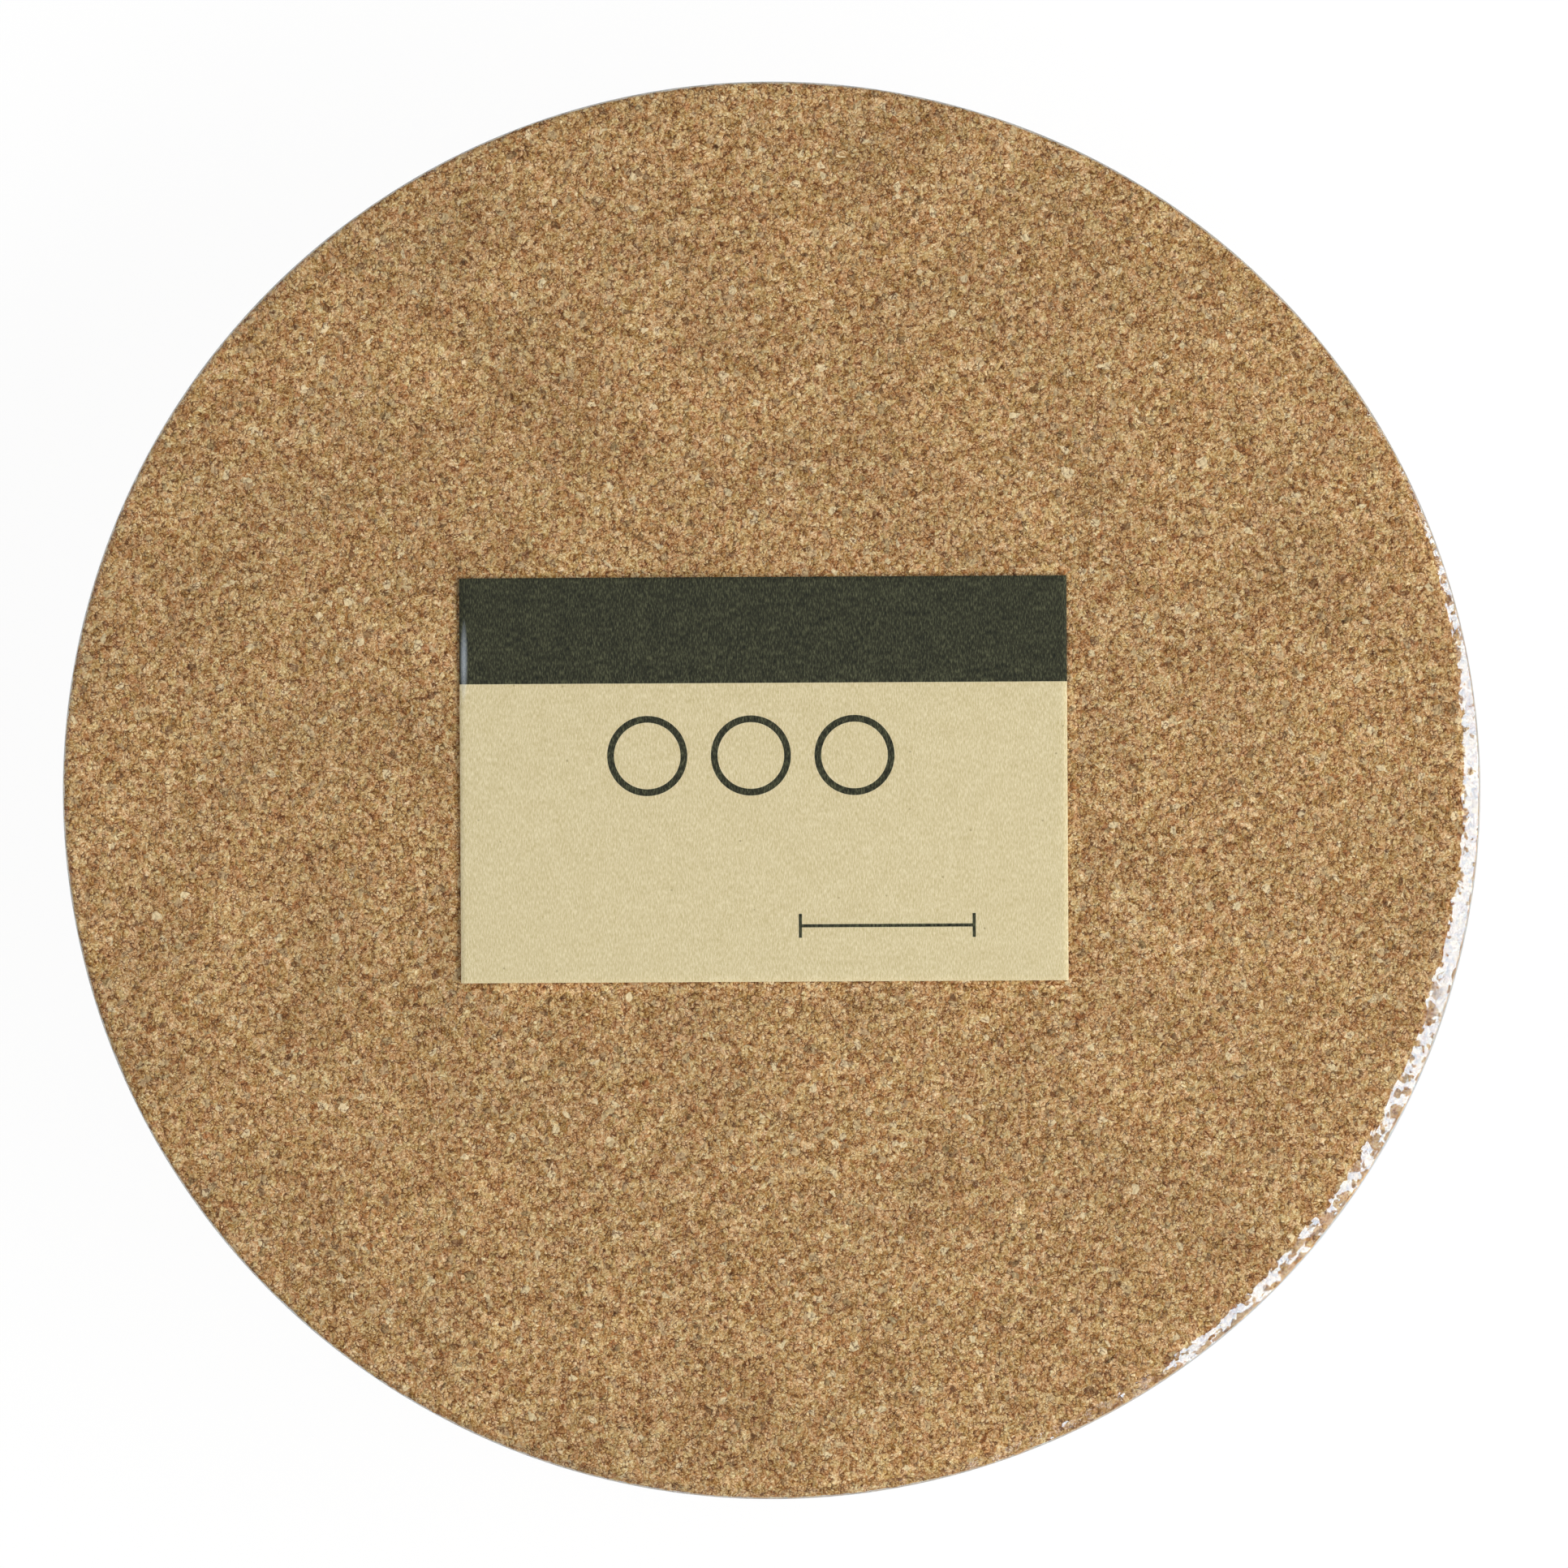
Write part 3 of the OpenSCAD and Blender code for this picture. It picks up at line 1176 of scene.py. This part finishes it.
@dataclass
class KraftCard:
    """The card on the upper disc: a dark band along its upper edge, and plain marks on the rest.

    Attributes:
        finish: The printed board.
        body: The body that it rides on.
        node: The CAD node that it replaces.
        turn: How far it is turned, anticlockwise.
        width: Its width.
        height: Its height.
        cell: The size of its faces.
        edge_r: How far its cut edges are rounded.
        sunk: How far its face lies below the node's, to leave room for its curl under the film.
        curl_up: How far its corners stand up.
        curl_powers: The powers of the distances across it and up it with which it curls.
        band: The band's height.
        ring_r: A ring's radius.
        ring_line: Its line's width.
        ring_pitch: The distance from one ring to the next.
        rings_middle: The middle ring's place, from the card's middle.
        rule_middle: The place of the dimension line's middle.
        rule_half: Half its length.
        tick_half: Half the length of its end ticks.
        rule_line: Its line's width.
    """

    finish: PrintedKraft
    body: str = "card"
    node: str = "label_card"
    turn: float = math.radians(0.3)
    width: float = 76.2 * MM
    height: float = 50.8 * MM
    cell: float = 0.6 * MM
    edge_r: float = 0.06 * MM
    sunk: float = 0.05 * MM
    curl_up: float = 0.045 * MM
    curl_powers: tuple[int, int] = (3, 2)
    band: float = 13.3 * MM
    ring_r: float = 4.6 * MM
    ring_line: float = 0.85 * MM
    ring_pitch: float = 13.0 * MM
    rings_middle: tuple[float, float] = (-1.6 * MM, 3.0 * MM)
    rule_middle: tuple[float, float] = (15.4 * MM, -18.4 * MM)
    rule_half: float = 10.9 * MM
    tick_half: float = 1.5 * MM
    rule_line: float = 0.4 * MM

    @property
    def middle(self) -> np.ndarray:
        """The card's middle."""
        return Box.of(self.node).middle

    def build(self) -> bpy.types.Object:
        """Builds the card: two grids a card's thickness apart, joined by belts of faces round their edges.

        The underside curls half as much as the face.

        Returns:
            The piece.
        """
        box = Box.of(self.node)
        columns, rows = round(self.width / self.cell), round(self.height / self.cell)
        x, y = np.meshgrid(
            np.linspace(-self.width / 2, self.width / 2, columns),
            np.linspace(-self.height / 2, self.height / 2, rows),
            indexing="ij",
        )
        reach = 1 - 2 * self.edge_r / self.width
        lift = self.curl(x, y)
        c, s = math.cos(self.turn), math.sin(self.turn)
        turn = np.array([[c, s], [-s, c]])
        face_z = box.high[2] - self.sunk + lift
        under_z = box.low[2] + lift / 2
        belts = ((face_z - self.edge_r, 1.0), (under_z + self.edge_r, 1.0))
        layers = []
        for z, scale in ((face_z, reach), *belts, (under_z, reach)):
            flat = np.stack([x, y], axis=-1) * scale @ turn + self.middle[:2]
            layers.append(np.concatenate([flat, z[..., None]], axis=-1).reshape(-1, 3))
        edge = grid_rim(columns, rows)
        n, m = columns * rows, len(edge)
        points = np.concatenate([layers[0], layers[1][edge], layers[2][edge], layers[3]])
        loops = np.stack([edge, n + np.arange(m), n + m + np.arange(m), n + 2 * m + edge])
        face = grid_faces(columns, rows)
        quads = np.concatenate([face, belt_faces(loops), face[:, ::-1] + n + 2 * m])
        piece = make_piece("printed_card", points, quads)
        piece.data.materials.append(self.finish.material(self))
        put_in_frame(piece, self.body, self.node)
        return piece

    def curl(self, x: np.ndarray, y: np.ndarray) -> np.ndarray:
        """How far the card stands up: the product of a power of each distance from its middle.

        Args:
            x: Distances across, from its middle.
            y: Distances up it, from its middle.

        Returns:
            One height for each place.
        """
        across, up = np.abs(x) * 2 / self.width, np.abs(y) * 2 / self.height
        return self.curl_up * across ** self.curl_powers[0] * up ** self.curl_powers[1]

    def print_mask(self, s: Shader, flat: Socket) -> Socket:
        """Where the card is inked: the band, a row of three plain rings, and a plain dimension line.

        Args:
            s: The material.
            flat: Coordinates from the card's middle, along its own sides.

        Returns:
            A factor of 1 on the ink.
        """
        split = s.add("SeparateXYZ", links={0: flat})
        x, y = split.outputs[0], split.outputs[1]
        mask = s.out("Math", {"operation": "GREATER_THAN", 1: self.height / 2 - self.band}, {0: y})

        # The rings are where the distance to the nearest of three centres is a ring's radius
        along = s.out("Math", {"operation": "SUBTRACT", 1: self.rings_middle[0]}, {0: x})
        nearest = s.out("Math", {"operation": "ADD", 1: self.ring_pitch / 2}, {0: along})
        nearest = s.out("Math", {"operation": "SNAP", 1: self.ring_pitch}, {0: nearest})
        nearest = s.out("Clamp", {"Min": -self.ring_pitch, "Max": self.ring_pitch}, {"Value": nearest})
        across = s.out("Math", {"operation": "SUBTRACT"}, {0: along, 1: nearest})
        up = s.out("Math", {"operation": "SUBTRACT", 1: self.rings_middle[1]}, {0: y})
        off = s.out("CombineXYZ", links={0: across, 1: up})
        radius = s.add("VectorMath", {"operation": "LENGTH"}, {0: off}).outputs["Value"]
        ring = s.out("Math", {"operation": "COMPARE", 1: self.ring_r, 2: self.ring_line / 2}, {0: radius})
        mask = s.out("Math", {"operation": "MAXIMUM"}, {0: mask, 1: ring})

        # The dimension line has a tick at each end
        dx, dy = [
            s.out("Math", {"operation": "SUBTRACT", 1: middle}, {0: way})
            for middle, way in zip(self.rule_middle, (x, y))
        ]
        dx, dy = [s.out("Math", {"operation": "ABSOLUTE"}, {0: off}) for off in (dx, dy)]
        inside = s.out("Math", {"operation": "LESS_THAN", 1: self.rule_half + self.rule_line / 2}, {0: dx})
        thin = s.out("Math", {"operation": "LESS_THAN", 1: self.rule_line / 2}, {0: dy})
        rule = s.out("Math", {"operation": "MULTIPLY"}, {0: inside, 1: thin})
        end = s.out("Math", {"operation": "COMPARE", 1: self.rule_half, 2: self.rule_line / 2}, {0: dx})
        short = s.out("Math", {"operation": "LESS_THAN", 1: self.tick_half}, {0: dy})
        tick = s.out("Math", {"operation": "MULTIPLY"}, {0: end, 1: short})
        mark = s.out("Math", {"operation": "MAXIMUM"}, {0: rule, 1: tick})
        return s.out("Math", {"operation": "MAXIMUM"}, {0: mask, 1: mark})


@dataclass
class Wrap:
    """The two sheets of shrink film, welded along a low seam.

    Attributes:
        rim: How the upper disc's face turns down, which the upper sheet follows.
        card: The card, over which it rises.
        finish: The film.
        grid: Points along a side of the upper sheet's grid.
        under_grid: Points along a side of the lower sheet's grid.
        cling: The gap between the upper disc and the film's inner side.
        thickness: The film's thickness.
        tent: How far from the card's outline the film comes down to the cork.
        skirt_rows: Rows of faces down the skirt.
        first_bend: How far below the upper face the skirt begins to run out to the next disc.
        fold_size: The size of the skirt's large and small folds.
        fold_shares: How much of the folds each makes.
        fold_upright: How upright the folds are: the share of a height that counts in their noise.
        fold_all_over: How deep the folds are all over the skirt.
        pleat: How much deeper they are at the seam.
        pleat_height: The height above the table's level at which these begin.
        least_slack: The least that scales these. A share that varies round the stack is added to it.
        slack_size: The size of the places that are slacker.
        seeds: Pick the noise of the large folds, the small folds and the slack.
        flange: The welded flange's width.
        flange_shares: Where its rows lie, as shares of its width.
        off_table: How far the lower sheet lies above the table.
        under_edge: How far in from the lower sheet's CAD edge it begins to rise to the seam.
        under_rows: Rows of faces over which it does.
        under_rise: The shares of the way at which it begins to rise and has risen.
    """

    rim: Rim
    card: KraftCard
    finish: ShrinkFilm
    grid: int = 152
    under_grid: int = 73
    cling: float = 0.05 * MM
    thickness: float = 0.04 * MM
    tent: float = 1.5 * MM
    skirt_rows: int = 22
    first_bend: float = 2.2 * MM
    fold_size: tuple[float, float] = (3.5 * MM, 1.6 * MM)
    fold_shares: tuple[float, float] = (0.6, 0.4)
    fold_upright: float = 0.35
    fold_all_over: float = 0.02 * MM
    pleat: float = 0.12 * MM
    pleat_height: float = 9 * MM
    least_slack: float = 0.4
    slack_size: float = 22 * MM
    seeds: tuple[int, int, int] = (71, 72, 73)
    flange: float = 0.75 * MM
    flange_shares: tuple[float, ...] = (0.35, 0.7, 1.0)
    off_table: float = 0.06 * MM
    under_edge: float = 2.5 * MM
    under_rows: int = 4
    under_rise: tuple[float, float] = (0.3, 0.9)

    def build(self) -> list[bpy.types.Object]:
        """Builds both sheets of one film, and returns them."""
        skin = self.finish.material()
        return [self.upper_sheet(skin), self.lower_sheet(skin)]

    def upper_sheet(self, skin: bpy.types.Material) -> bpy.types.Object:
        """Builds the upper sheet: a face on the cork and the card, the turn over the rim, and a skirt.

        The skirt is drawn taut from each disc's rim to the next one that stands out further, so that the
        sheet can be lifted straight off, and its pleats grow towards the seam.

        Args:
            skin: The film's material.

        Returns:
            The piece.
        """
        top, card = Box.of("trivet_top"), Box.of(self.card.node)
        sheet = Box.of("film_upper")
        radius = top.size[0] / 2 + self.cling
        unit = disc_grid(self.grid)
        angle, ring = grid_angles(unit)
        inset, _ = self.rim.profile(angle.ravel(), self.cling)
        edge = (radius - inset[0]).reshape(angle.shape)
        flat = unit * edge[..., None] + top.middle[:2]
        rise = (card.high[2] - top.high[2]) * (1 - smooth(0, self.tent, self.off_card(flat)))
        face = np.concatenate([flat, (top.high[2] + self.cling + rise)[..., None]], axis=-1)

        inset, depth = self.rim.profile(ring, self.cling)
        turn_r, turn_z = radius - inset[1:], top.high[2] + self.cling - depth[1:]
        low = sheet.low[2] + self.thickness
        share = np.linspace(0, 1, self.skirt_rows + 1)[1:, None]
        skirt_z = turn_z[-1] + (low - turn_z[-1]) * share
        skirt_r = self.skirt_radius(ring, skirt_z, top, radius)
        flange_r = skirt_r[-1] + self.flange * np.array(self.flange_shares)[:, None]
        flange_z = np.full_like(flange_r, low)
        rows_r = np.concatenate([turn_r, skirt_r, flange_r])
        rows_z = np.concatenate([turn_z, skirt_z, flange_z])
        rows = round_points(rows_r, ring, rows_z)
        rows[..., :2] += top.middle[:2]
        piece = face_and_rows("film_over", face, rows, None)
        self.dress(piece, skin, "wrap", "film_upper")
        return piece

    def skirt_radius(self, ring: np.ndarray, z: np.ndarray, top: Box, radius: float) -> np.ndarray:
        """The skirt's radius at each height and angle.

        It runs straight from each disc's rim to the next one that stands out further, and folds are added:
        noise round the stack, drawn out upright, which is faint all over and deeper towards the seam.

        Args:
            ring: Angles round the stack.
            z: Heights, from the rim down to the seam.
            top: The upper disc's box.
            radius: The radius round the upper disc.

        Returns:
            Radii, heights by angles.
        """
        heading = np.stack([np.cos(ring), np.sin(ring)])
        reach = np.zeros_like(ring)
        above = top.high[2] - self.first_bend
        total = np.full(z.shape, radius)
        for node in ("trivet_middle", "trivet_bottom"):
            box = Box.of(node)
            further = np.maximum(reach, (box.middle - top.middle)[:2] @ heading)
            step = np.clip((above - z) / (above - box.high[2]), 0, 1)
            total = total + (further - reach) * step
            reach, above = further, box.high[2]
        around = round_points(radius, ring, self.fold_upright * z)
        sizes = (*self.fold_size, self.slack_size)
        large, small, slack = [value_noise(around, size, seed) for size, seed in zip(sizes, self.seeds)]
        folds = large * self.fold_shares[0] + small * self.fold_shares[1]
        low = smooth(-self.pleat_height, 0, -z)
        return total + (self.pleat * low * (self.least_slack + slack) + self.fold_all_over) * folds

    def off_card(self, flat: np.ndarray) -> np.ndarray:
        """How far each point lies outside the card's outline.

        Args:
            flat: Places, with x, y last.

        Returns:
            One distance for each place, 0 on the card.
        """
        x, y = np.moveaxis(flat - self.card.middle[:2], -1, 0)
        c, s = math.cos(self.card.turn), math.sin(self.card.turn)
        local = np.stack([x * c + y * s, y * c - x * s], axis=-1)
        over = np.maximum(np.abs(local) - np.array([self.card.width, self.card.height]) / 2, 0)
        return np.linalg.norm(over, axis=-1)

    def lower_sheet(self, skin: bpy.types.Material) -> bpy.types.Object:
        """Builds the lower sheet: flat under the stack, and welded to the skirt's flange along its edge.

        Args:
            skin: The film's material.

        Returns:
            The piece.
        """
        low = Box.of("film_lower")
        top = Box.of("trivet_top")
        unit = disc_grid(self.under_grid)
        _, ring = grid_angles(unit)
        seam = self.skirt_radius(ring, np.array([[low.high[2]]]), top, top.size[0] / 2 + self.cling)[0]
        start, end = low.size[0] / 2 - self.under_edge, seam + self.flange
        flat = unit * start
        rest = self.off_table + self.thickness
        face = np.concatenate([flat, np.full_like(flat[..., :1], rest)], axis=-1)
        shares = np.linspace(0, 1, self.under_rows + 1)[1:, None]
        rows_r = start + (end - start) * shares
        rows_z = rest + (low.high[2] - rest) * smooth(*self.under_rise, shares)
        rows = round_points(rows_r, ring, rows_z)
        piece = face_and_rows("film_under", face, rows, None)
        self.dress(piece, skin, "lower_disc", "film_lower")
        return piece

    def dress(self, piece: bpy.types.Object, skin: bpy.types.Material, body: str, node: str) -> None:
        """Gives a sheet its thickness and material, and puts it in the frame.

        The upper sheet thickens outwards from its surface, and the lower one downwards.

        Args:
            piece: The sheet.
            skin: The film's material.
            body: The body that it rides on.
            node: The CAD node that it replaces.
        """
        wall = piece.modifiers.new("thickness", "SOLIDIFY")
        wall.thickness = self.thickness
        wall.offset = 1.0 if node == "film_upper" else -1.0
        piece.data.materials.append(skin)
        put_in_frame(piece, body, node)


@dataclass(frozen=True)
class Softbox:
    """A rectangular softbox that faces the set.

    Attributes:
        name: The light's name.
        size: Its width and height in metres.
        away: Its distance from the set.
        radiance: How bright its face is, where 1 is the white of the table.
        azimuth: Its direction from the set, anticlockwise from +X.
        elevation: Its height above the table, as an angle.
    """

    name: str
    size: tuple[float, float]
    away: float
    radiance: float
    azimuth: float
    elevation: float

    def hang(self) -> None:
        """Hangs the softbox where the camera doesn't see its face."""
        width, height = self.size
        light = bpy.data.lights.new(self.name, "AREA")
        light.shape = "RECTANGLE"
        light.size, light.size_y = width, height
        light.energy = self.radiance * math.pi * width * height
        lamp = bpy.data.objects.new(self.name, light)
        level, up = math.cos(self.elevation), math.sin(self.elevation)
        towards = Vector((math.cos(self.azimuth) * level, math.sin(self.azimuth) * level, up))
        lamp.location = towards * self.away
        lamp.rotation_euler = towards.to_track_quat("Z", "Y").to_euler()
        lamp.visible_camera = False
        bpy.context.scene.collection.objects.link(lamp)


@dataclass
class Studio:
    """A white table in soft light, seen from straight above.

    Attributes:
        key: The softbox that the pressed bevel of the upper disc mirrors to the camera.
        fill: The softbox on the far side.
        table_half: Half the table top's side.
        laminate: The table top's colour.
        own_white: How much of its own white the table shows. The rest is lit, and takes the shadow.
        walls_up_to: The z of the direction up to which the room is as bright as its walls.
        ceiling_from: The z of the direction from which it is as dim as its ceiling.
        ceiling: How bright the ceiling is, where the walls are 1.
        camera_height: The camera's height above the upper disc.
        sensor: The width of its sensor in millimetres.
        sees_to: How far it sees.
    """

    key: Softbox = Softbox(
        "key_softbox", size=(2.3, 0.84), away=1.5, radiance=6.6,
        azimuth=math.radians(-19), elevation=math.radians(35),
    )
    fill: Softbox = Softbox(
        "fill_softbox", size=(1.4, 1.0), away=1.6, radiance=1.6,
        azimuth=math.radians(160), elevation=math.radians(44),
    )
    table_half: float = 3.0
    laminate: str = "#f6f6f4"
    own_white: float = 0.95
    walls_up_to: float = 0.3
    ceiling_from: float = 0.8
    ceiling: float = 0.05
    camera_height: float = 1.25
    sensor: float = 36.0
    sees_to: float = 20.0

    def build(self) -> None:
        """Builds the table, the lights, the world and the camera."""
        self.table()
        self.key.hang()
        self.fill.hang()
        self.world()
        self.camera()

    def table(self) -> None:
        """Lays the table top of white laminate under the set.

        It is matt, and mostly shows its own white, so that only a faint shadow lies on it.
        """
        corners = np.array([[-1, -1, 0], [1, -1, 0], [1, 1, 0], [-1, 1, 0]])
        floor = make_piece("table_top", corners * self.table_half, np.array([[0, 1, 2, 3]]))
        s = Shader("white_laminate_table")
        ray = s.add("LightPath").outputs
        seen = s.out("Math", {"operation": "MAXIMUM"}, {0: ray["Is Camera Ray"], 1: ray["Is Glossy Ray"]})
        seen = s.out("Math", {"operation": "MAXIMUM"}, {0: seen, 1: ray["Is Transmission Ray"]})
        share = s.out("Math", {"operation": "MULTIPLY", 1: self.own_white}, {0: seen})
        board = s.out("BsdfDiffuse", {"Color": linear(self.laminate)})
        white = s.out("Emission", {"Color": linear(WHITE), "Strength": 1.0})
        top = s.out("MixShader", links={0: share, 1: board, 2: white})
        floor.data.materials.append(s.finish(top))

    def world(self) -> None:
        """Fills the room with soft light, from white walls that fade smoothly to a dim ceiling."""
        world = bpy.data.worlds.new("studio_room")
        world.use_nodes = True
        tree = world.node_tree
        tree.nodes.clear()
        way = add_node(tree, "TexCoord").outputs["Generated"]
        up = add_node(tree, "SeparateXYZ", links={0: way}).outputs[2]
        fade = {
            "interpolation_type": "SMOOTHSTEP",
            "From Min": self.walls_up_to,
            "From Max": self.ceiling_from,
            "To Min": 1.0,
            "To Max": self.ceiling,
        }
        level = add_node(tree, "MapRange", fade, {0: up}).outputs[0]
        glow = add_node(tree, "Background", {"Color": linear(WHITE)}, {"Strength": level}).outputs[0]
        add_node(tree, "OutputWorld", links={"Surface": glow})
        bpy.context.scene.world = world

    def camera(self) -> None:
        """Hangs the camera straight above, so that the disc spans and lies in the picture as photographed."""
        top = Box.of("trivet_top")
        per_pixel = top.size[0] / PHOTO_DISC_SPAN_PX
        middle = PHOTO_SIDE_PX / 2
        right, up = middle - PHOTO_DISC_MIDDLE_PX[0], PHOTO_DISC_MIDDLE_PX[1] - middle
        data = bpy.data.cameras.new("camera")
        data.sensor_width = self.sensor
        data.lens = self.sensor * self.camera_height / (PHOTO_SIDE_PX * per_pixel)
        data.clip_end = self.sees_to
        eye = bpy.data.objects.new("camera", data)
        x, y = top.middle[0] + right * per_pixel, top.middle[1] + up * per_pixel
        eye.location = (x, y, top.high[2] + self.camera_height)
        bpy.context.scene.collection.objects.link(eye)
        bpy.context.scene.camera = eye


def main() -> None:
    logging.basicConfig(level=logging.INFO, format="%(name)s: %(message)s")
    bpy.context.scene.view_settings.view_transform = "Standard"
    Studio().build()
    cork = AgglomeratedCork()
    pressed = Rim()
    plain = Rim(ease_r=(1.0 * MM, 1.0 * MM), ease_more=0.0, tilt_more=0.0, widest=pressed.narrow)
    discs = [
        CorkDisc(
            # The upper disc gets painted shade on its rim, just below the face
            "trivet_top", "upper_disc", "cork_disc_upper", grid=241, rim=pressed, finish=cork,
            cut_at_mm=(0, 0, 0), lightness=1.0, seed=11, rim_shade=0.3,
        ),
        CorkDisc(
            "trivet_middle", "middle_disc", "cork_disc_middle", grid=161, rim=plain, finish=cork,
            cut_at_mm=(310, 90, 40), lightness=0.97, seed=23,
        ),
        CorkDisc(
            "trivet_bottom", "lower_disc", "cork_disc_lower", grid=161, rim=plain, finish=cork,
            cut_at_mm=(-170, 260, 80), lightness=0.94, seed=37,
        ),
    ]
    card = KraftCard(PrintedKraft())
    pieces = [disc.build() for disc in discs]
    pieces.append(card.build())
    pieces.extend(Wrap(pressed, card, ShrinkFilm()).build())
    for piece in pieces:
        log.info("%s: %d faces", piece.name, len(piece.data.polygons))


if __name__ == "__main__":
    main()
